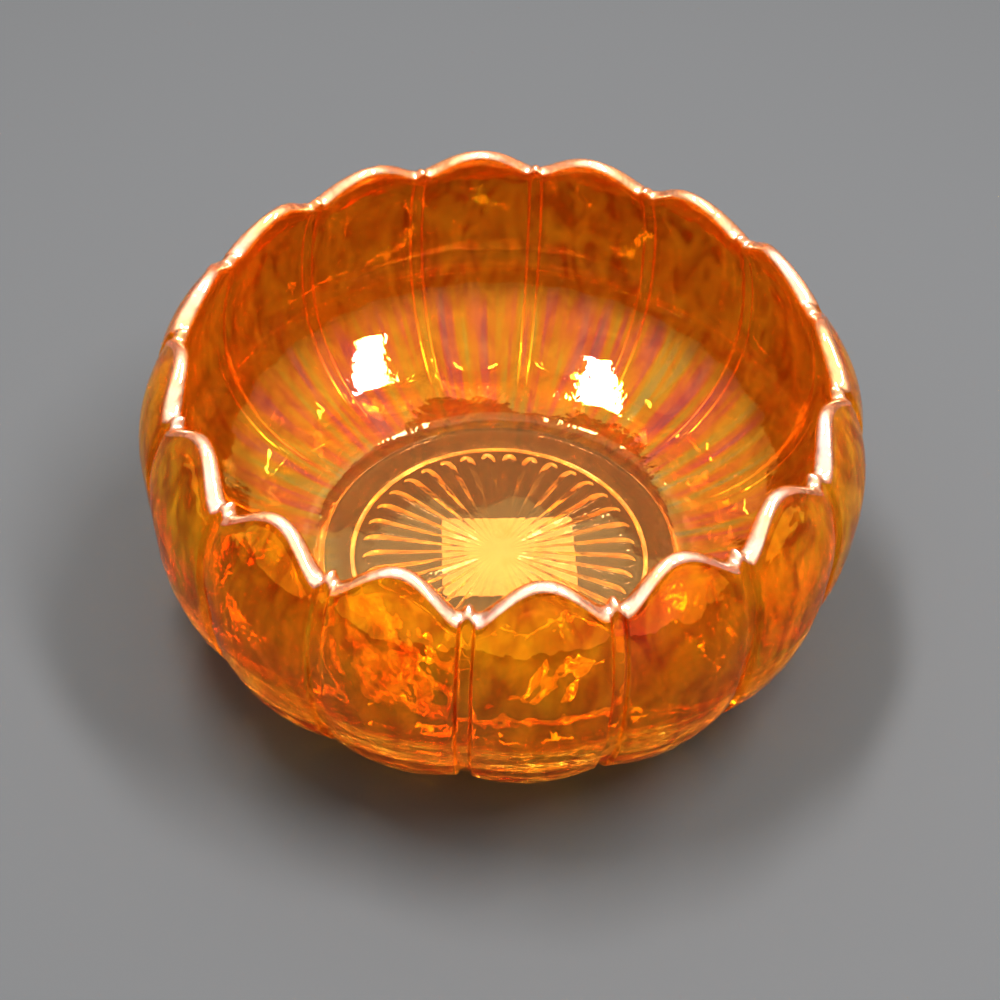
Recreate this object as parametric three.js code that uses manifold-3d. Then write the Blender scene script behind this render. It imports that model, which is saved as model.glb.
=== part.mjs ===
// Pressed carnival glass bowl with a paper label stuck under its base. Sizes are in millimetres.
// The bowl stands on z = 0 with its axis on z. Sixteen convex petals rise from a ring foot, swell to the
// belly and lean in again to a scalloped rim. Narrow channels part the petals, and each channel ends in a
// small knob on the rim. A star of rays is pressed into the underside of the base.

import * as THREE from "three";
import { mergeVertices } from "three/addons/utils/BufferGeometryUtils.js";
import Module from "manifold-3d";

const wasm = await Module();
wasm.setup();

// Outside of the wall, on the crown of a petal
const PETALS = 16;
const BELLY_RADIUS = 108;
const BELLY_HEIGHT = 59;
const CREST_RADIUS = 92.9;
const CREST_HEIGHT = 95.5;
const LEAN_POWER = 2.3; // how late the wall turns inwards above the belly
const HEEL_RADIUS = 62; // where the wall meets the foot
const HEEL_HEIGHT = 1.6;
const HEEL_SQUARENESS = 2.5; // 2 is an ellipse, more is a squarer heel

// Inside of the wall
const INNER_BELLY_RADIUS = 102.5;
const INNER_BELLY_HEIGHT = 46;
const INNER_CREST_RADIUS = 89.2;
const INNER_LEAN_POWER = 1.9;
const FLOOR_RADIUS = 55.5;
const FLOOR_HEIGHT = 11;
const FLOOR_EDGE_DEG = 15; // the slope at which the inside leaves the floor

// Relief of the outside: how far it lies below the petal's crown line, at the belly and at the rim
const PETAL_CURVE = [1.6, 0.9]; // at a petal's long edges
const CHANNEL_DEPTH = [3.1, 1.9]; // in the channels
const PETAL_EDGE = 0.87; // share of the half pitch, from the petal's middle to its edge
const CHANNEL_EDGE = 0.93;
const PETAL_FOOT_DEG = 14; // where the petal starts above the foot, as an angle round the heel
const PETAL_CORNER_DEG = 6; // how much later it starts at its two corners
const PETAL_CORNER_POWER = 4; // how tightly those corners are rounded
const PETAL_FADE_DEG = 24; // over how long an angle it rises to its full relief

// Rim
const NOTCH_HEIGHT = 87.4;
const KNOB_HEIGHT = 89.4;
const RIM_ROUND = 1.5;
const RIM_OUTER_INSET = 1.2; // how far the rounded top lies in from the outer wall
const RIM_INNER_INSET = 0.45; // and out from the inner wall

// Foot and base
const FOOT_RADIUS = 57.5;
const FOOT_ROUND = 1;
const FOOT_INNER_RADIUS = 48.2;
const RECESS_RADIUS = 46.6;
const RECESS_HEIGHT = 2.4;

// Rays of the star
const RAYS = 36;
const RAY_INNER_RADIUS = 5;
const RAY_WIDE_RADIUS = 38.5;
const RAY_OUTER_RADIUS = 44;
const RAY_HALF_WIDTH = 3.1;
const RAY_DEPTH = 1.4;

// Label
const LABEL_WIDTH = 43;
const LABEL_DEPTH = 33.5;
const LABEL_THICKNESS = 0.3;
const LABEL_GAP = 0.3;
const LABEL_CENTRE_X = 2.9;
const LABEL_CENTRE_Y = -2.1;
const LABEL_TURN_DEG = -3;

// Where the mesh is cut across one petal, from one channel's middle round to the next, as shares of the
// half pitch. It is finer over the channel's sides.
const CUTS = [
  -1, -CHANNEL_EDGE, -PETAL_EDGE, -0.7, -0.47, -0.24,
  0, 0.24, 0.47, 0.7, PETAL_EDGE, CHANNEL_EDGE,
];
const HEEL_TURNS_DEG = [0, 7, 13, 20, 29, 40, 53, 70, 90];
const WALL_SHARES = [0.3, 0.58, 0.82, 1];
const INNER_WALL_SHARES = [1, 0.7, 0.35];
const INNER_TURNS_DEG = [90, 75, 60, 45, 30, FLOOR_EDGE_DEG];
const TURN_MARGIN_DEG = 0.5; // keeps off the heel's two ends, where its slope can't be worked out
const FIRST_PETAL_TURN = -0.25; // share of a full turn, which puts one petal's middle on -y
const MERGE_TOLERANCE = 1e-4;

const mix = (a, b, t) => a + (b - a) * t;
const clamp01 = (t) => Math.min(1, Math.max(0, t));

// Height of the rim at u, where u is 0 at a petal's middle and 1 at a channel's.
function rimHeight(u) {
  const across = Math.abs(u);
  if (across < PETAL_EDGE) {
    return mix(NOTCH_HEIGHT, CREST_HEIGHT, Math.cos((across / PETAL_EDGE) * Math.PI / 2));
  }
  const climb = (across - PETAL_EDGE) / (1 - PETAL_EDGE);
  return mix(NOTCH_HEIGHT, KNOB_HEIGHT, Math.sin(climb * Math.PI / 2) ** 2);
}

// A quarter of a squared ellipse, from the foot out and up to the belly.
const heelProfile = (turn) => {
  const out = Math.sin(turn) ** (2 / HEEL_SQUARENESS);
  const down = Math.cos(turn) ** (2 / HEEL_SQUARENESS);
  return new THREE.Vector2(mix(HEEL_RADIUS, BELLY_RADIUS, out), mix(BELLY_HEIGHT, HEEL_HEIGHT, down));
};

const wallProfile = (height) => {
  const rise = (height - BELLY_HEIGHT) / (CREST_HEIGHT - BELLY_HEIGHT);
  return new THREE.Vector2(mix(BELLY_RADIUS, CREST_RADIUS, rise ** LEAN_POWER), height);
};

const innerWallProfile = (height) => {
  const rise = (height - INNER_BELLY_HEIGHT) / (CREST_HEIGHT - INNER_BELLY_HEIGHT);
  return new THREE.Vector2(mix(INNER_BELLY_RADIUS, INNER_CREST_RADIUS, rise ** INNER_LEAN_POWER), height);
};

// An arc that leaves the floor at a slope and ends upright at the inside's own belly.
const innerHeelProfile = (turn) => {
  const start = THREE.MathUtils.degToRad(FLOOR_EDGE_DEG);
  const out = (Math.sin(turn) - Math.sin(start)) / (1 - Math.sin(start));
  const up = (Math.cos(start) - Math.cos(turn)) / Math.cos(start);
  const height = mix(FLOOR_HEIGHT, INNER_BELLY_HEIGHT, up);
  return new THREE.Vector2(mix(FLOOR_RADIUS, INNER_BELLY_RADIUS, out), height);
};

// Depth of the outside below the crown line at u. rise is 0 up to the belly and 1 at the crest.
function reliefDepth(u, rise) {
  const across = Math.abs(u);
  const curve = mix(PETAL_CURVE[0], PETAL_CURVE[1], rise);
  const channel = mix(CHANNEL_DEPTH[0], CHANNEL_DEPTH[1], rise);
  if (across <= PETAL_EDGE) return curve * (across / PETAL_EDGE) ** 2;
  return mix(curve, channel, clamp01((across - PETAL_EDGE) / (CHANNEL_EDGE - PETAL_EDGE)));
}

// Pushes a profile's point in along its normal by depth.
function sink(profile, at, depth) {
  const step = 1e-3;
  const point = profile(at);
  const along = profile(at + step).sub(profile(at - step)).normalize();
  return point.add(new THREE.Vector2(-along.y, along.x).multiplyScalar(depth));
}

// The rounded lower end of a petal: 0 below it and 1 above.
function petalShare(u, turnDeg) {
  const corner = PETAL_CORNER_DEG * Math.min(1, Math.abs(u) / PETAL_EDGE) ** PETAL_CORNER_POWER;
  return clamp01((turnDeg - PETAL_FOOT_DEG - corner) / PETAL_FADE_DEG + 0.5);
}

// One row of the mesh is a function of u that gives a radius and a height.
const ring = (radius, height) => () => new THREE.Vector2(radius, height);

const footRows = [
  ring(RECESS_RADIUS, RECESS_HEIGHT),
  ring(FOOT_INNER_RADIUS, 0),
  ring(FOOT_RADIUS - FOOT_ROUND, 0),
  ring(FOOT_RADIUS, FOOT_ROUND),
];

const heelRows = HEEL_TURNS_DEG.map((turnDeg) => (u) => {
  const depth = mix(CHANNEL_DEPTH[0], reliefDepth(u, 0), petalShare(u, turnDeg));
  const heldDeg = THREE.MathUtils.clamp(turnDeg, TURN_MARGIN_DEG, 90 - TURN_MARGIN_DEG);
  return sink(heelProfile, THREE.MathUtils.degToRad(heldDeg), depth);
});

const wallRows = WALL_SHARES.map((share) => (u) => {
  const height = mix(BELLY_HEIGHT, rimHeight(u) - RIM_ROUND, share);
  const rise = (height - BELLY_HEIGHT) / (CREST_HEIGHT - BELLY_HEIGHT);
  return sink(wallProfile, height, reliefDepth(u, rise));
});

// The rim's rounded top, on its outer and its inner half.
const rimRows = [
  (u) => wallRows.at(-1)(u).add(new THREE.Vector2(-RIM_OUTER_INSET, RIM_ROUND)),
  (u) => innerWallProfile(rimHeight(u)).add(new THREE.Vector2(RIM_INNER_INSET, 0)),
];

const innerRows = [
  ...INNER_WALL_SHARES.map((share) => (u) => {
    return innerWallProfile(mix(INNER_BELLY_HEIGHT, rimHeight(u) - RIM_ROUND, share));
  }),
  ...INNER_TURNS_DEG.map((turnDeg) => () => innerHeelProfile(THREE.MathUtils.degToRad(turnDeg))),
];

// Turns rows into one closed skin, from the base's underside round the rim to the floor's middle.
function bodyGeometry() {
  const rows = [...footRows, ...heelRows, ...wallRows, ...rimRows, ...innerRows];
  const positions = [0, 0, RECESS_HEIGHT];
  for (const row of rows) {
    for (let petal = 0; petal < PETALS; petal++) {
      for (const u of CUTS) {
        const turn = ((petal + u / 2) / PETALS + FIRST_PETAL_TURN) * 2 * Math.PI;
        const { x: radius, y: height } = row(u);
        positions.push(radius * Math.cos(turn), radius * Math.sin(turn), height);
      }
    }
  }
  positions.push(0, 0, FLOOR_HEIGHT);

  const columns = PETALS * CUTS.length;
  const last = rows.length * columns + 1;
  const at = (row, column) => 1 + row * columns + (column % columns);
  const faces = [];
  for (let c = 0; c < columns; c++) {
    faces.push(0, at(0, c + 1), at(0, c));
    for (let r = 0; r + 1 < rows.length; r++) {
      faces.push(at(r, c), at(r, c + 1), at(r + 1, c));
      faces.push(at(r, c + 1), at(r + 1, c + 1), at(r + 1, c));
    }
    faces.push(at(rows.length - 1, c), at(rows.length - 1, c + 1), last);
  }
  return new THREE.BufferGeometry()
    .setAttribute("position", new THREE.Float32BufferAttribute(positions, 3))
    .setIndex(faces);
}

function solidOf(geometry) {
  const bare = geometry.clone();
  bare.deleteAttribute("normal");
  bare.deleteAttribute("uv");
  const merged = mergeVertices(bare, MERGE_TOLERANCE);
  return new wasm.Manifold(new wasm.Mesh({
    numProp: 3,
    vertProperties: merged.attributes.position.array,
    triVerts: new Uint32Array(merged.index.array),
  }));
}

function geometryOf(solid) {
  const { vertProperties, triVerts } = solid.getMesh();
  return new THREE.BufferGeometry()
    .setAttribute("position", new THREE.Float32BufferAttribute(vertProperties, 3))
    .setIndex(new THREE.Uint32BufferAttribute(triVerts, 1));
}

// One ray's cutter: a long double wedge that is narrow and shallow near the middle, widest and deepest near
// its outer end, and pointed there.
function rayCutter(turn) {
  const inner = new THREE.Vector3(RAY_INNER_RADIUS, 0, 0);
  const outer = new THREE.Vector3(RAY_OUTER_RADIUS, 0, 0);
  const left = new THREE.Vector3(RAY_WIDE_RADIUS, RAY_HALF_WIDTH, 0);
  const right = new THREE.Vector3(RAY_WIDE_RADIUS, -RAY_HALF_WIDTH, 0);
  const top = new THREE.Vector3(RAY_WIDE_RADIUS, 0, RAY_DEPTH);
  const bottom = new THREE.Vector3(RAY_WIDE_RADIUS, 0, -RAY_DEPTH);
  const points = [inner, outer, left, right, top, bottom].flatMap((p) => p.toArray());
  const faces = [
    0, 3, 4, 3, 1, 4, 1, 2, 4, 2, 0, 4,
    3, 0, 5, 1, 3, 5, 2, 1, 5, 0, 2, 5,
  ];
  const geometry = new THREE.BufferGeometry()
    .setAttribute("position", new THREE.Float32BufferAttribute(points, 3))
    .setIndex(faces);
  geometry.rotateZ(turn);
  geometry.translate(0, 0, RECESS_HEIGHT);
  return solidOf(geometry);
}

function glassBowl() {
  let body = solidOf(bodyGeometry());
  for (let ray = 0; ray < RAYS; ray++) {
    body = body.subtract(rayCutter((ray / RAYS) * 2 * Math.PI));
  }
  const glass = new THREE.MeshStandardMaterial({ color: 0xc8701a, roughness: 0.05, metalness: 0 });
  const mesh = new THREE.Mesh(geometryOf(body), glass);
  mesh.name = "glass_bowl";
  return mesh;
}

function paperLabel() {
  const paper = new THREE.MeshStandardMaterial({ color: 0xefe0b8, roughness: 0.9, metalness: 0 });
  const mesh = new THREE.Mesh(new THREE.BoxGeometry(LABEL_WIDTH, LABEL_DEPTH, LABEL_THICKNESS), paper);
  mesh.name = "paper_label";
  mesh.position.set(LABEL_CENTRE_X, LABEL_CENTRE_Y, RECESS_HEIGHT - LABEL_GAP - LABEL_THICKNESS / 2);
  mesh.rotation.z = THREE.MathUtils.degToRad(LABEL_TURN_DEG);
  return mesh;
}

const bowl = new THREE.Group();
bowl.add(glassBowl(), paperLabel());

export default bowl;
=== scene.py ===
"""Carnival glass bowl: the fine pressed-glass surface, its lustre and the paper label under the base.

Profiles are in millimetres on the CAD's frame, with the bowl's axis on z and its foot on z = 0.
"""

import math

import bpy
import numpy as np
from mathutils import Matrix, Vector


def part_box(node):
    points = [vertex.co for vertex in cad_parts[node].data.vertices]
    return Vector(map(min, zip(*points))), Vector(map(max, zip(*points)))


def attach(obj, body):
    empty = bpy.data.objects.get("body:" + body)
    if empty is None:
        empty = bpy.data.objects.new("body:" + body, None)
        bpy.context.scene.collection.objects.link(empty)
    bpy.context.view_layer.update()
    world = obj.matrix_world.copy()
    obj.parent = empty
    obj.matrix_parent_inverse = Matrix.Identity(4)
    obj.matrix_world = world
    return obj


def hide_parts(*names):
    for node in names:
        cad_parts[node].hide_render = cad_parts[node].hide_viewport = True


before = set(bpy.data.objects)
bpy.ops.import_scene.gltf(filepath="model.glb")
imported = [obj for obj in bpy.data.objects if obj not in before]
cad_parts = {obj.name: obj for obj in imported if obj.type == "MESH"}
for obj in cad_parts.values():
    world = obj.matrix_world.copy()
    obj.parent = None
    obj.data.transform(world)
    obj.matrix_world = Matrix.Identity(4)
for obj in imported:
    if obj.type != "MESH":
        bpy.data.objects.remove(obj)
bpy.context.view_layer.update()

MM = 0.001

# Outside of the wall, on the crown of a petal
PETALS = 16
BELLY_RADIUS = 108.0
BELLY_HEIGHT = 59.0
CREST_RADIUS = 92.9
CREST_HEIGHT = 95.5
LEAN_POWER = 2.3
HEEL_RADIUS = 62.0
HEEL_HEIGHT = 1.6
HEEL_SQUARENESS = 2.5

# Inside of the wall
INNER_BELLY_RADIUS = 102.5
INNER_BELLY_HEIGHT = 46.0
INNER_CREST_RADIUS = 89.2
INNER_LEAN_POWER = 1.9
FLOOR_RADIUS = 55.5
FLOOR_HEIGHT = 11.0
FLOOR_EDGE_DEG = 15.0

# Relief of the outside, as a depth below the petal's crown line at the belly and at the rim
PETAL_CURVE = (1.6, 0.9)
CHANNEL_DEPTH = (3.1, 1.9)
PETAL_EDGE = 0.87
CHANNEL_EDGE = 0.93
PETAL_FOOT_DEG = 14.0
PETAL_CORNER_DEG = 6.0
PETAL_CORNER_POWER = 4
PETAL_FADE_DEG = 24.0

# Rim
NOTCH_HEIGHT = 87.4
KNOB_HEIGHT = 89.4
RIM_ROUND = 2.0
NOTCH_SOFTNESS = 0.12

# Foot and base
FOOT_RADIUS = 57.5
FOOT_INNER_RADIUS = 48.2
FOOT_ROUND = 1.6
FOOT_INNER_ROUND = (0.8, 1.2)        # across and up
RECESS_RADIUS = 46.6
RECESS_HEIGHT = 2.4
RAYS = 36
RAY_INNER_RADIUS = 5.0
RAY_WIDE_RADIUS = 38.5
RAY_OUTER_RADIUS = 44.0
RAY_FILL = 0.93                      # share of the pitch that a ray takes at its widest
RAY_DEPTH = 1.4
RAY_SECTION_POWER = 0.9              # 1 is a straight V, less is a rounder groove

# Label
LABEL_SIZE = (43.0, 33.5)
LABEL_CENTRE = (2.9, -2.1)
LABEL_TURN_DEG = -3.0
LABEL_CORNER = 1.2
LABEL_RAGGED = 0.12                  # how far the edge wanders in
LABEL_RAGGED_WAVES = (1.1, 0.8)      # radians per mm along the two sides
LABEL_EDGE_POWER = 9                 # keeps that wandering to the edge
LABEL_DIP = 0.05                     # how uneven the two faces are
LABEL_DIP_WAVES = (0.5, 0.6)
LABEL_CELLS = 40

# Where the skin is cut: numbers of rows, and the places of those that are not evenly spread
BASE_CUT_RADII = (*np.linspace(2.0, 36.0, 12), *np.linspace(37.5, 45.0, 16))
FOOT_CUTS = 4
HEEL_CUTS_DEG = (1.0, *np.linspace(3.0, 28.0, 18), *np.linspace(34.0, 89.8, 9))
WALL_CUTS = 14
RIM_CUTS = 9
INNER_WALL_CUTS = 15
INNER_HEEL_CUTS = 20
FLOOR_CUT_RADII = (54.5, 45.0, 32.0, 16.0)
CHANNEL_CUTS = 5
SIDE_CUTS = 8
PETAL_CUTS = 14
FIRST_PETAL_TURN = -0.25             # share of a full turn, which puts one petal's middle on -y

# The skin's first and last materials; the outside is 1 and the rim 2
UNDERSIDE_SLOT = 0
INSIDE_SLOT = 3


def mix(a, b, t):
    return a + (b - a) * t


def ease(t):
    """Smooth step of t from 0 to 1."""
    t = np.clip(t, 0.0, 1.0)
    return t * t * (3.0 - 2.0 * t)


# ---------------------------------------------------------------- profiles

def heel_profile(turn):
    """A quarter of a squared ellipse, from the foot out and up to the belly."""
    bend = 2.0 / HEEL_SQUARENESS
    out, down = np.sin(turn) ** bend, np.cos(turn) ** bend
    return mix(HEEL_RADIUS, BELLY_RADIUS, out), mix(BELLY_HEIGHT, HEEL_HEIGHT, down)


def inner_heel_profile(turn):
    """An arc that leaves the floor at a slope and ends upright at the belly."""
    start = math.radians(FLOOR_EDGE_DEG)
    out = (np.sin(turn) - math.sin(start)) / (1.0 - math.sin(start))
    up = (math.cos(start) - np.cos(turn)) / math.cos(start)
    return mix(FLOOR_RADIUS, INNER_BELLY_RADIUS, out), mix(FLOOR_HEIGHT, INNER_BELLY_HEIGHT, up)


def wall_profile(height):
    rise = np.maximum((height - BELLY_HEIGHT) / (CREST_HEIGHT - BELLY_HEIGHT), 0.0)
    return mix(BELLY_RADIUS, CREST_RADIUS, rise ** LEAN_POWER), height


def inner_wall_profile(height):
    rise = np.maximum((height - INNER_BELLY_HEIGHT) / (CREST_HEIGHT - INNER_BELLY_HEIGHT), 0.0)
    return mix(INNER_BELLY_RADIUS, INNER_CREST_RADIUS, rise ** INNER_LEAN_POWER), height


def sink(profile, at, depth):
    """Pushes a profile's point in along its normal by depth."""
    step = 1e-3
    radius, height = profile(at)
    radius_next, height_next = profile(at + step)
    radius_last, height_last = profile(at - step)
    along_radius, along_height = radius_next - radius_last, height_next - height_last
    length = np.hypot(along_radius, along_height)
    return radius - depth * along_height / length, height + depth * along_radius / length


# ---------------------------------------------------------------- relief across one petal

def petal_cuts():
    """Shares of the half pitch at which the skin is cut, closest over the channel's sides."""
    channel = np.linspace(CHANNEL_EDGE, 1.0, CHANNEL_CUTS)
    side = np.linspace(PETAL_EDGE, CHANNEL_EDGE, SIDE_CUTS)[:-1]
    petal = np.linspace(0.0, PETAL_EDGE, PETAL_CUTS)[:-1]
    half = np.concatenate([petal, side, channel])
    return np.concatenate([-half[:0:-1], half[:-1]])


CUTS = np.tile(petal_cuts(), PETALS)
ACROSS = np.abs(CUTS)
TURN_SHARE = (np.repeat(np.arange(PETALS), len(CUTS) // PETALS) + CUTS / 2.0) / PETALS


def rim_height():
    arch = np.cos(np.minimum(ACROSS / PETAL_EDGE, 1.0) * math.pi / 2)
    soft = np.hypot(arch, NOTCH_SOFTNESS) - NOTCH_SOFTNESS
    soft /= math.hypot(1.0, NOTCH_SOFTNESS) - NOTCH_SOFTNESS
    climb = np.clip((ACROSS - PETAL_EDGE) / (1.0 - PETAL_EDGE), 0.0, 1.0)
    knob = np.sin(climb * math.pi / 2) ** 2
    return NOTCH_HEIGHT + (CREST_HEIGHT - NOTCH_HEIGHT) * soft + (KNOB_HEIGHT - NOTCH_HEIGHT) * knob


RIM_HEIGHT = rim_height()


def relief_depth(rise):
    """Depth of the outside below the crown line; rise is 0 up to the belly and 1 at the crest."""
    curve = mix(PETAL_CURVE[0], PETAL_CURVE[1], rise)
    channel = mix(CHANNEL_DEPTH[0], CHANNEL_DEPTH[1], rise)
    petal = curve * np.minimum(ACROSS / PETAL_EDGE, 1.0) ** 2
    side = ease((ACROSS - PETAL_EDGE) / (CHANNEL_EDGE - PETAL_EDGE))
    return mix(petal, channel, side)


def petal_share(turn_deg):
    """The rounded lower end of a petal: 0 below it and 1 above."""
    corner = PETAL_CORNER_DEG * np.minimum(1.0, ACROSS / PETAL_EDGE) ** PETAL_CORNER_POWER
    return ease((turn_deg - PETAL_FOOT_DEG - corner) / PETAL_FADE_DEG + 0.5)


# ---------------------------------------------------------------- rows of the skin

def flat_row(radius, height):
    return np.full_like(CUTS, radius), np.full_like(CUTS, height)


def ray_row(radius):
    """A row of the rayed underside: V-shaped rays that widen outwards and have round outer ends."""
    turn = TURN_SHARE * RAYS
    off_ray = np.abs(turn - np.round(turn)) * 2.0
    grow = np.clip((radius - RAY_INNER_RADIUS) / (RAY_WIDE_RADIUS - RAY_INNER_RADIUS), 0.0, 1.0)
    close = np.clip((RAY_OUTER_RADIUS - radius) / (RAY_OUTER_RADIUS - RAY_WIDE_RADIUS), 0.0, 1.0)
    tip = math.sqrt(max(1.0 - (1.0 - close) ** 2, 0.0))
    if grow <= 0.0 or tip <= 0.0:
        return flat_row(radius, RECESS_HEIGHT)
    groove = np.clip(1.0 - off_ray / (RAY_FILL * tip), 0.0, 1.0)
    return np.full_like(CUTS, radius), RECESS_HEIGHT + RAY_DEPTH * grow * tip * groove ** RAY_SECTION_POWER


def base_rows():
    return [ray_row(radius) for radius in BASE_CUT_RADII]


def foot_rows():
    rows = [flat_row(RECESS_RADIUS, RECESS_HEIGHT)]
    turns = np.linspace(0.0, math.pi / 2, FOOT_CUTS)
    across, up = FOOT_INNER_ROUND
    for turn in turns:
        rows.append(flat_row(FOOT_INNER_RADIUS - across * math.cos(turn), up - up * math.sin(turn)))
    for turn in turns:
        out, up = FOOT_ROUND * math.sin(turn), FOOT_ROUND * (1.0 - math.cos(turn))
        rows.append(flat_row(FOOT_RADIUS - FOOT_ROUND + out, up))
    return rows


def heel_rows():
    rows = []
    for turn_deg in HEEL_CUTS_DEG:
        depth = mix(CHANNEL_DEPTH[0], relief_depth(0.0), petal_share(turn_deg))
        rows.append(sink(heel_profile, math.radians(turn_deg), depth))
    return rows


def wall_rows():
    rows = []
    for share in np.linspace(0.0, 1.0, WALL_CUTS)[1:]:
        height = mix(BELLY_HEIGHT, RIM_HEIGHT - RIM_ROUND, share)
        rise = (height - BELLY_HEIGHT) / (CREST_HEIGHT - BELLY_HEIGHT)
        rows.append(sink(wall_profile, height, relief_depth(rise)))
    return rows


def rim_rows(outer):
    """The rim's rounded edge, from the wall's last outer row over to the inner wall."""
    inner_radius, height = inner_wall_profile(RIM_HEIGHT - RIM_ROUND)
    middle, half = (outer[0] + inner_radius) / 2, (outer[0] - inner_radius) / 2
    rows = []
    for turn in np.linspace(0.0, math.pi, RIM_CUTS)[1:-1]:
        level = mix(outer[1], height, (1 - math.cos(turn)) / 2)
        rows.append((middle + half * math.cos(turn), level + RIM_ROUND * math.sin(turn)))
    return rows


def inner_rows():
    rows = []
    for share in np.linspace(1.0, 0.0, INNER_WALL_CUTS)[:-1]:
        rows.append(inner_wall_profile(mix(INNER_BELLY_HEIGHT, RIM_HEIGHT - RIM_ROUND, share)))
    for turn in np.radians(np.linspace(90.0, FLOOR_EDGE_DEG, INNER_HEEL_CUTS)):
        rows.append(flat_row(*inner_heel_profile(turn)))
    for radius in FLOOR_CUT_RADII:
        rows.append(flat_row(radius, FLOOR_HEIGHT))
    return rows


def bowl_mesh():
    """One closed skin, with its materials in order: the clear underside, the outside, the rim, the inside."""
    clear = base_rows() + foot_rows()
    outside = heel_rows() + wall_rows()
    rim = rim_rows(outside[-1])
    inside = inner_rows()
    rows = clear + outside + rim + inside
    radius = np.stack([row[0] for row in rows])
    height = np.stack([row[1] for row in rows])
    turn = (TURN_SHARE + FIRST_PETAL_TURN) * 2 * math.pi
    body = np.stack([radius * np.cos(turn), radius * np.sin(turn), height], axis=-1)
    columns = len(turn)
    points = np.concatenate([[[0, 0, RECESS_HEIGHT]], body.reshape(-1, 3), [[0, 0, FLOOR_HEIGHT]]]) * MM

    bounds = np.cumsum([len(clear) - 1, len(outside) + 1, len(rim) - 1])
    here = np.arange(columns)
    after = (here + 1) % columns
    faces, slots = [], []
    faces += [(0, 1 + int(b), 1 + int(a)) for a, b in zip(here, after)]
    slots += [UNDERSIDE_SLOT] * columns
    for row in range(len(rows) - 1):
        low, high = 1 + row * columns, 1 + (row + 1) * columns
        faces += [(low + int(a), low + int(b), high + int(b), high + int(a)) for a, b in zip(here, after)]
        slots += [int(np.searchsorted(bounds, row, side="right"))] * columns
    top = 1 + (len(rows) - 1) * columns
    faces += [(top + int(a), top + int(b), len(points) - 1) for a, b in zip(here, after)]
    slots += [INSIDE_SLOT] * columns

    mesh = bpy.data.meshes.new("bowl_skin")
    mesh.from_pydata(points.tolist(), [], faces)
    mesh.polygons.foreach_set("material_index", slots)
    mesh.polygons.foreach_set("use_smooth", [True] * len(faces))
    mesh.update()
    return mesh


# ---------------------------------------------------------------- materials

# Films: refractive index, and thickness in nanometres
GLASS_IOR = 1.52
OUTER_FILM_IOR = 2.3
OUTER_FILM_RANGE = (185.0, 220.0)
RIM_FILM_IOR = 2.3
RIM_FILM_RANGE = (52.0, 78.0)
INNER_FILM_IOR = 1.78
INNER_FILM_RANGE = (225.0, 325.0)
FLOOR_FILM_IOR = 1.54

# Share of the light that each finish lets through rather than scattering, and how rough it is
UNDERSIDE_CLARITY = 0.98
OUTER_CLARITY = 0.87
RIM_CLARITY = 0.95
INNER_CLARITY = 0.96
GLASS_ROUGHNESS = 0.02
INNER_ROUGHNESS = 0.035
PAPER_ROUGHNESS = 0.85

# Tints of the glass, and the lustre's own tint
LUSTRE_TINT = (1.0, 0.72, 0.3, 1)
UNDERSIDE_TINTS = ((0.62, 0.34, 0.14), (0.86, 0.56, 0.3))
OUTER_TINTS = ((0.46, 0.045, 0.0004), (1.0, 0.48, 0.014))
RIM_TINTS = ((0.9, 0.3, 0.03), (1.0, 0.65, 0.25))
WALL_TINTS = ((0.92, 0.24, 0.01), (1.0, 0.42, 0.03))
FLOOR_TINT = (0.8, 0.51, 0.25)

# Distances from the axis over which the inside changes from the floor's finish to the wall's, in metres
TINT_CHANGE = (0.052, 0.07)
FILM_CHANGE = (0.05, 0.062)

# Paper
FIBRE_TINTS = ((0.74, 0.68, 0.62), (0.84, 0.8, 0.76))
STAIN_TINT = (0.7, 0.58, 0.42)

# Patterns of each finish: cells per metre, detail, distortion and how far it is drawn out upwards
UNDERSIDE_PATCHES = (60.0, 2.0, 0.0, 1.0)
OUTER_PATCHES = (110.0, 4.0, 1.2, 2.5)
OUTER_FILM_PATCHES = (14.0, 3.0, 0.8, 1.0)
RIM_PATCHES = (90.0, 3.0, 0.0, 1.0)
RIM_FILM_PATCHES = (60.0, 2.0, 0.0, 1.0)
INNER_PATCHES = (40.0, 4.0, 0.6, 1.0)
INNER_STREAKS = (16.0, 3.0)          # scale and detail
FIBRES = (900.0, 3.0, 0.0, 1.0)
STAINS = (120.0, 3.0, 0.0, 1.0)

# The part of a pattern's range over which a finish changes
SOFT_CHANGE = (0.3, 0.7)
OUTER_TINT_CHANGE = (0.35, 0.65)
STAIN_CHANGE = (0.55, 0.75)

# Unevenness of each surface: cells per metre, height in metres and how far it is drawn out upwards
SWELL_DETAIL = 2.0
SWELL_DISTORTION = 0.3
UNDERSIDE_SWELLS = ((150.0, 0.0003, 1.0),)
OUTER_SWELLS = ((70.0, 0.0009, 1.5), (150.0, 0.0002, 2.0))
RIM_SWELLS = ((160.0, 0.0006, 1.0),)
INNER_SWELLS = ((45.0, 0.0002, 1.0), (300.0, 0.00004, 1.0))
PAPER_SWELLS = ((900.0, 0.00005, 1.0),)


def new_material(name):
    material = bpy.data.materials.new(name)
    material.use_nodes = True
    nodes, links = material.node_tree.nodes, material.node_tree.links
    return material, nodes, links, nodes["Principled BSDF"]


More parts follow.
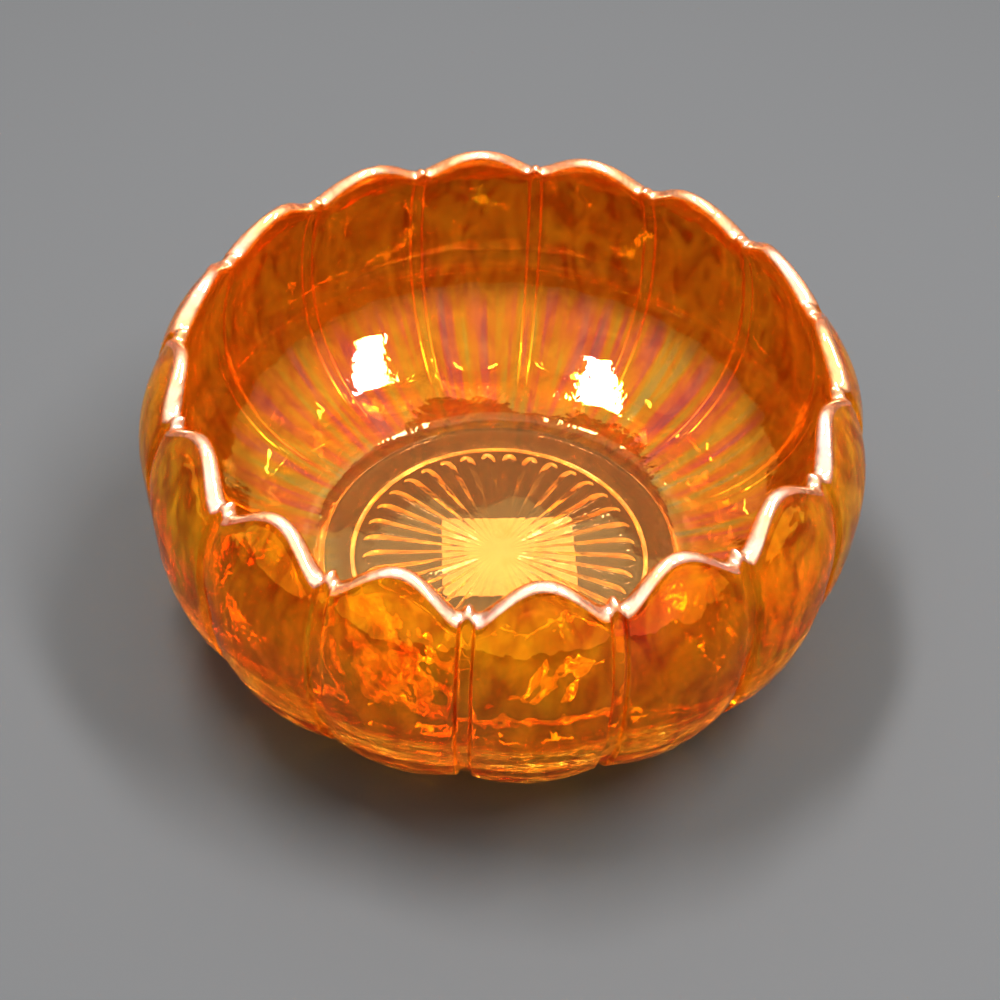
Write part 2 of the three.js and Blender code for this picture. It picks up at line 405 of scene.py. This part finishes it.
def noise(nodes, links, scale, detail, distortion, stretch):
    """A noise over the object's own coordinates, in cells per metre; stretch draws it out upwards."""
    where = nodes.new("ShaderNodeTexCoord")
    flat = nodes.new("ShaderNodeVectorMath")
    flat.operation = "MULTIPLY"
    flat.inputs[1].default_value = (1.0, 1.0, 1.0 / stretch)
    texture = nodes.new("ShaderNodeTexNoise")
    texture.inputs["Scale"].default_value = scale
    texture.inputs["Detail"].default_value = detail
    texture.inputs["Distortion"].default_value = distortion
    links.new(where.outputs["Object"], flat.inputs[0])
    links.new(flat.outputs["Vector"], texture.inputs["Vector"])
    return texture.outputs["Fac"]


def span(nodes, links, value, low, high, to_low, to_high):
    """Maps a value from low..high to to_low..to_high, held at the ends."""
    node = nodes.new("ShaderNodeMapRange")
    for name, number in (("From Min", low), ("From Max", high), ("To Min", to_low), ("To Max", to_high)):
        node.inputs[name].default_value = number
    links.new(value, node.inputs["Value"])
    return node.outputs["Result"]


def blend(nodes, links, share, low, high):
    """A colour between low and high; either is a colour or a socket."""
    node = nodes.new("ShaderNodeMix")
    node.data_type = "RGBA"
    links.new(share, node.inputs["Factor"])
    for socket, colour in ((node.inputs[6], low), (node.inputs[7], high)):
        if isinstance(colour, tuple):
            socket.default_value = (*colour, 1)
        else:
            links.new(colour, socket)
    return node.outputs[2]


def reach(nodes, links):
    """Distance from the bowl's axis, in metres."""
    where = nodes.new("ShaderNodeTexCoord")
    flat = nodes.new("ShaderNodeVectorMath")
    flat.operation = "MULTIPLY"
    flat.inputs[1].default_value = (1, 1, 0)
    length = nodes.new("ShaderNodeVectorMath")
    length.operation = "LENGTH"
    links.new(where.outputs["Object"], flat.inputs[0])
    links.new(flat.outputs["Vector"], length.inputs[0])
    return length.outputs["Value"]


def streaks(nodes, links, scale, detail):
    """A noise that runs down the wall and in towards the axis, as the lustre ran when it was sprayed."""
    where = nodes.new("ShaderNodeTexCoord")
    flat = nodes.new("ShaderNodeVectorMath")
    flat.operation = "MULTIPLY"
    flat.inputs[1].default_value = (1, 1, 0)
    bearing = nodes.new("ShaderNodeVectorMath")
    bearing.operation = "NORMALIZE"
    drawn = nodes.new("ShaderNodeVectorMath")
    drawn.operation = "ADD"
    texture = nodes.new("ShaderNodeTexNoise")
    texture.inputs["Scale"].default_value = scale
    texture.inputs["Detail"].default_value = detail
    links.new(where.outputs["Object"], flat.inputs[0])
    links.new(flat.outputs["Vector"], bearing.inputs[0])
    links.new(bearing.outputs["Vector"], drawn.inputs[0])
    links.new(where.outputs["Object"], drawn.inputs[1])
    links.new(drawn.outputs["Vector"], texture.inputs["Vector"])
    return texture.outputs["Fac"]


def waviness(nodes, links, shader, *swells):
    """The slight unevenness of pressed glass, as swells of a scale, a height in metres and a stretch."""
    below = None
    for scale, height, stretch in swells:
        bump = nodes.new("ShaderNodeBump")
        bump.inputs["Strength"].default_value = 1.0
        bump.inputs["Distance"].default_value = height
        swell = noise(nodes, links, scale, SWELL_DETAIL, SWELL_DISTORTION, stretch)
        links.new(swell, bump.inputs["Height"])
        if below:
            links.new(below, bump.inputs["Normal"])
        below = bump.outputs["Normal"]
    links.new(below, shader.inputs["Normal"])


def bare_glass(shader, clarity, roughness=GLASS_ROUGHNESS):
    """Glass; a clarity under 1 scatters the rest of the light in its coat."""
    shader.inputs["Transmission Weight"].default_value = clarity
    shader.inputs["Roughness"].default_value = roughness
    shader.inputs["IOR"].default_value = GLASS_IOR


def clear_underside():
    """The base and foot, where the glass has little lustre."""
    material, nodes, links, shader = new_material("clear_base_glass")
    bare_glass(shader, UNDERSIDE_CLARITY)
    tint = blend(nodes, links, noise(nodes, links, *UNDERSIDE_PATCHES), *UNDERSIDE_TINTS)
    links.new(tint, shader.inputs["Base Color"])
    waviness(nodes, links, shader, *UNDERSIDE_SWELLS)
    return material


def outer_lustre():
    """The outside's lustre, laid on in uneven patches."""
    material, nodes, links, shader = new_material("outer_lustre_glass")
    bare_glass(shader, OUTER_CLARITY)
    shader.inputs["Specular Tint"].default_value = LUSTRE_TINT
    patches = span(nodes, links, noise(nodes, links, *OUTER_PATCHES), *OUTER_TINT_CHANGE, 0.0, 1.0)
    links.new(blend(nodes, links, patches, *OUTER_TINTS), shader.inputs["Base Color"])
    film = span(nodes, links, noise(nodes, links, *OUTER_FILM_PATCHES), *SOFT_CHANGE, *OUTER_FILM_RANGE)
    links.new(film, shader.inputs["Thin Film Thickness"])
    shader.inputs["Thin Film IOR"].default_value = OUTER_FILM_IOR
    waviness(nodes, links, shader, *OUTER_SWELLS)
    return material


def rim_lustre():
    """The rim's edge, where the coat is worn thin and silvery."""
    material, nodes, links, shader = new_material("rim_glass")
    bare_glass(shader, RIM_CLARITY)
    tint = blend(nodes, links, noise(nodes, links, *RIM_PATCHES), *RIM_TINTS)
    links.new(tint, shader.inputs["Base Color"])
    film = span(nodes, links, noise(nodes, links, *RIM_FILM_PATCHES), *SOFT_CHANGE, *RIM_FILM_RANGE)
    links.new(film, shader.inputs["Thin Film Thickness"])
    shader.inputs["Thin Film IOR"].default_value = RIM_FILM_IOR
    waviness(nodes, links, shader, *RIM_SWELLS)
    return material


def inner_lustre():
    """The inside's lustre, which is strong on the wall and thins out over the floor."""
    material, nodes, links, shader = new_material("inner_lustre_glass")
    bare_glass(shader, INNER_CLARITY, INNER_ROUGHNESS)
    shader.inputs["Specular Tint"].default_value = LUSTRE_TINT
    wall = span(nodes, links, reach(nodes, links), *TINT_CHANGE, 0.0, 1.0)
    patches = span(nodes, links, noise(nodes, links, *INNER_PATCHES), *SOFT_CHANGE, 0.0, 1.0)
    coat = blend(nodes, links, patches, *WALL_TINTS)
    links.new(blend(nodes, links, wall, FLOOR_TINT, coat), shader.inputs["Base Color"])
    film = span(nodes, links, streaks(nodes, links, *INNER_STREAKS), *SOFT_CHANGE, *INNER_FILM_RANGE)
    links.new(film, shader.inputs["Thin Film Thickness"])
    strength = span(nodes, links, reach(nodes, links), *FILM_CHANGE, FLOOR_FILM_IOR, INNER_FILM_IOR)
    links.new(strength, shader.inputs["Thin Film IOR"])
    waviness(nodes, links, shader, *INNER_SWELLS)
    return material


def paper():
    """Cream paper, with fibres and a few larger age stains."""
    material, nodes, links, shader = new_material("label_paper")
    shader.inputs["Roughness"].default_value = PAPER_ROUGHNESS
    fibres = blend(nodes, links, noise(nodes, links, *FIBRES), *FIBRE_TINTS)
    stains = span(nodes, links, noise(nodes, links, *STAINS), *STAIN_CHANGE, 0.0, 1.0)
    links.new(blend(nodes, links, stains, fibres, STAIN_TINT), shader.inputs["Base Color"])
    waviness(nodes, links, shader, *PAPER_SWELLS)
    return material


# ---------------------------------------------------------------- pieces

def glass_bowl():
    piece = bpy.data.objects.new("lustre_bowl", bowl_mesh())
    bpy.context.collection.objects.link(piece)
    for material in (clear_underside(), outer_lustre(), rim_lustre(), inner_lustre()):
        piece.data.materials.append(material)
    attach(piece, "root")
    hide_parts("glass_bowl")


def label_outline(across, along):
    """A point of the sheet, in mm from its centre; across and along run from -1 to 1."""
    x, y = across * LABEL_SIZE[0] / 2, along * LABEL_SIZE[1] / 2
    over_x = abs(x) - LABEL_SIZE[0] / 2 + LABEL_CORNER
    over_y = abs(y) - LABEL_SIZE[1] / 2 + LABEL_CORNER
    if over_x > 0 and over_y > 0:
        pull = 1.0 - max(over_x, over_y) / math.hypot(over_x, over_y)
        x -= math.copysign(over_x * pull, x)
        y -= math.copysign(over_y * pull, y)
    wave_x, wave_y = LABEL_RAGGED_WAVES
    shrink = LABEL_RAGGED * (1.0 + math.sin(wave_x * x) * math.cos(wave_y * y))
    return x - shrink * across ** LABEL_EDGE_POWER, y - shrink * along ** LABEL_EDGE_POWER


def label_mesh(low, high):
    """The sheet as two grids joined round the edge, each a little uneven towards the other."""
    cells = LABEL_CELLS
    ticks = np.linspace(-1.0, 1.0, cells + 1)
    turn = Matrix.Rotation(math.radians(LABEL_TURN_DEG), 3, "Z")
    shift = Vector((*LABEL_CENTRE, 0.0)) * MM
    points = []
    for face, level in ((1, low.z), (-1, high.z)):
        for along in ticks:
            for across in ticks:
                x, y = label_outline(across, along)
                wave = math.sin(LABEL_DIP_WAVES[0] * x + 1.0) * math.sin(LABEL_DIP_WAVES[1] * y)
                dip = LABEL_DIP * (1.0 + wave) / 2
                points.append(turn @ Vector((x, y, face * dip)) * MM + shift + Vector((0, 0, level)))
    side = cells + 1
    top = side * side
    faces = []
    for row in range(cells):
        for cell in range(cells):
            a = row * side + cell
            faces.append((a, a + side, a + side + 1, a + 1))
            faces.append((top + a, top + a + 1, top + a + side + 1, top + a + side))
    edge = [*range(cells), *range(cells, top - 1, side)]
    edge += [*range(top - 1, top - side, -1), *range(top - side, 0, -side)]
    for a, b in zip(edge, edge[1:] + edge[:1]):
        faces.append((a, b, top + b, top + a))
    mesh = bpy.data.meshes.new("label_sheet")
    mesh.from_pydata([tuple(point) for point in points], [], faces)
    mesh.update()
    return mesh


def label():
    piece = bpy.data.objects.new("cream_label", label_mesh(*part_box("paper_label")))
    bpy.context.collection.objects.link(piece)
    piece.data.materials.append(paper())
    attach(piece, "root")
    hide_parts("paper_label")


# ---------------------------------------------------------------- stage

FLOOR_HALF = 30.0
FLOOR_DROP = 0.0003
FLOOR_COLOUR = (0.043, 0.044, 0.046, 1)
FLOOR_ROUGHNESS = 0.8


def floor():
    mesh = bpy.data.meshes.new("floor")
    corners = [(x * FLOOR_HALF, y * FLOOR_HALF, 0) for x, y in ((-1, -1), (1, -1), (1, 1), (-1, 1))]
    mesh.from_pydata(corners, [], [(0, 1, 2, 3)])
    piece = bpy.data.objects.new("floor", mesh)
    piece.location.z = -FLOOR_DROP
    bpy.context.collection.objects.link(piece)
    material, _, _, shader = new_material("floor")
    shader.inputs["Base Color"].default_value = FLOOR_COLOUR
    shader.inputs["Roughness"].default_value = FLOOR_ROUGHNESS
    mesh.materials.append(material)


def area_light(name, place, along, size, power):
    """A rectangular lamp that faces the bowl, with its long side along a direction."""
    data = bpy.data.lights.new(name, "AREA")
    data.shape = "RECTANGLE"
    data.size, data.size_y = size
    data.energy = power
    lamp = bpy.data.objects.new(name, data)
    back = Vector(place).normalized()
    across = Vector(along).cross(back).normalized()
    upright = back.cross(across)
    lamp.matrix_world = Matrix.Translation(place) @ Matrix((across, upright, back)).transposed().to_4x4()
    bpy.context.collection.objects.link(lamp)


# The room's light at the horizon and overhead, and the sines of the heights between which it changes
HORIZON = (0.33, 0.32, 0.31)
CEILING = (1.3, 1.28, 1.24)
CEILING_FROM = 0.35
CEILING_TO = 0.8

# Lamps: where each stands, the direction of its long side, its width and length in metres, and its watts
LAMPS = {
    "lamp_left": ((0.57, -0.1, 1.22), (-0.39, 0.84, 0), (0.15, 0.8), 17),
    "lamp_right": ((-0.26, 0.2, 1.22), (0.29, 0.63, 0), (0.13, 0.55), 14),
}


def room():
    """A room that is dim near the horizon and bright overhead."""
    world = bpy.data.worlds.new("studio")
    world.use_nodes = True
    nodes, links = world.node_tree.nodes, world.node_tree.links
    where = nodes.new("ShaderNodeTexCoord")
    parts = nodes.new("ShaderNodeSeparateXYZ")
    links.new(where.outputs["Generated"], parts.inputs["Vector"])
    overhead = span(nodes, links, parts.outputs["Z"], CEILING_FROM, CEILING_TO, 0.0, 1.0)
    links.new(blend(nodes, links, overhead, HORIZON, CEILING), nodes["Background"].inputs["Color"])
    bpy.context.scene.world = world


def lights():
    """The room, and two lamps whose reflections make the highlights on the inside."""
    room()
    for name, (place, along, size, power) in LAMPS.items():
        area_light(name, place, along, size, power)


# The camera: where it stands, what it looks at, its roll and its lens
CAMERA_PLACE = (-0.0466, -0.3848, 0.4318)
CAMERA_AIM = (-0.0021, -0.0145, 0.045)
CAMERA_ROLL_DEG = 2.11
CAMERA_LENS_MM = 64.3


def camera():
    """The camera, aimed and then rolled about its own line of sight."""
    data = bpy.data.cameras.new("camera")
    data.lens = CAMERA_LENS_MM
    eye = bpy.data.objects.new("camera", data)
    eye.location = CAMERA_PLACE
    look = (Vector(CAMERA_AIM) - Vector(CAMERA_PLACE)).to_track_quat("-Z", "Y")
    roll = Matrix.Rotation(math.radians(CAMERA_ROLL_DEG), 4, "Z").to_quaternion()
    eye.rotation_mode = "QUATERNION"
    eye.rotation_quaternion = look @ roll
    bpy.context.collection.objects.link(eye)
    bpy.context.scene.camera = eye


# The contrast curve of the picture
VIEW_EXPOSURE = 1.25
VIEW_GAMMA = 0.72

# How far light is followed, because the glass is seen through many of its own surfaces
GLASS_BOUNCES = 24
GLOSSY_BOUNCES = 12
TRANSPARENT_BOUNCES = 16


def picture():
    """How the picture is shown, and how far its light is followed."""
    view = bpy.context.scene.view_settings
    view.view_transform = "Standard"
    view.exposure = VIEW_EXPOSURE
    view.gamma = VIEW_GAMMA
    paths = bpy.context.scene.cycles
    paths.max_bounces = GLASS_BOUNCES
    paths.transmission_bounces = GLASS_BOUNCES
    paths.glossy_bounces = GLOSSY_BOUNCES
    paths.transparent_max_bounces = TRANSPARENT_BOUNCES


glass_bowl()
label()
floor()
lights()
camera()
picture()
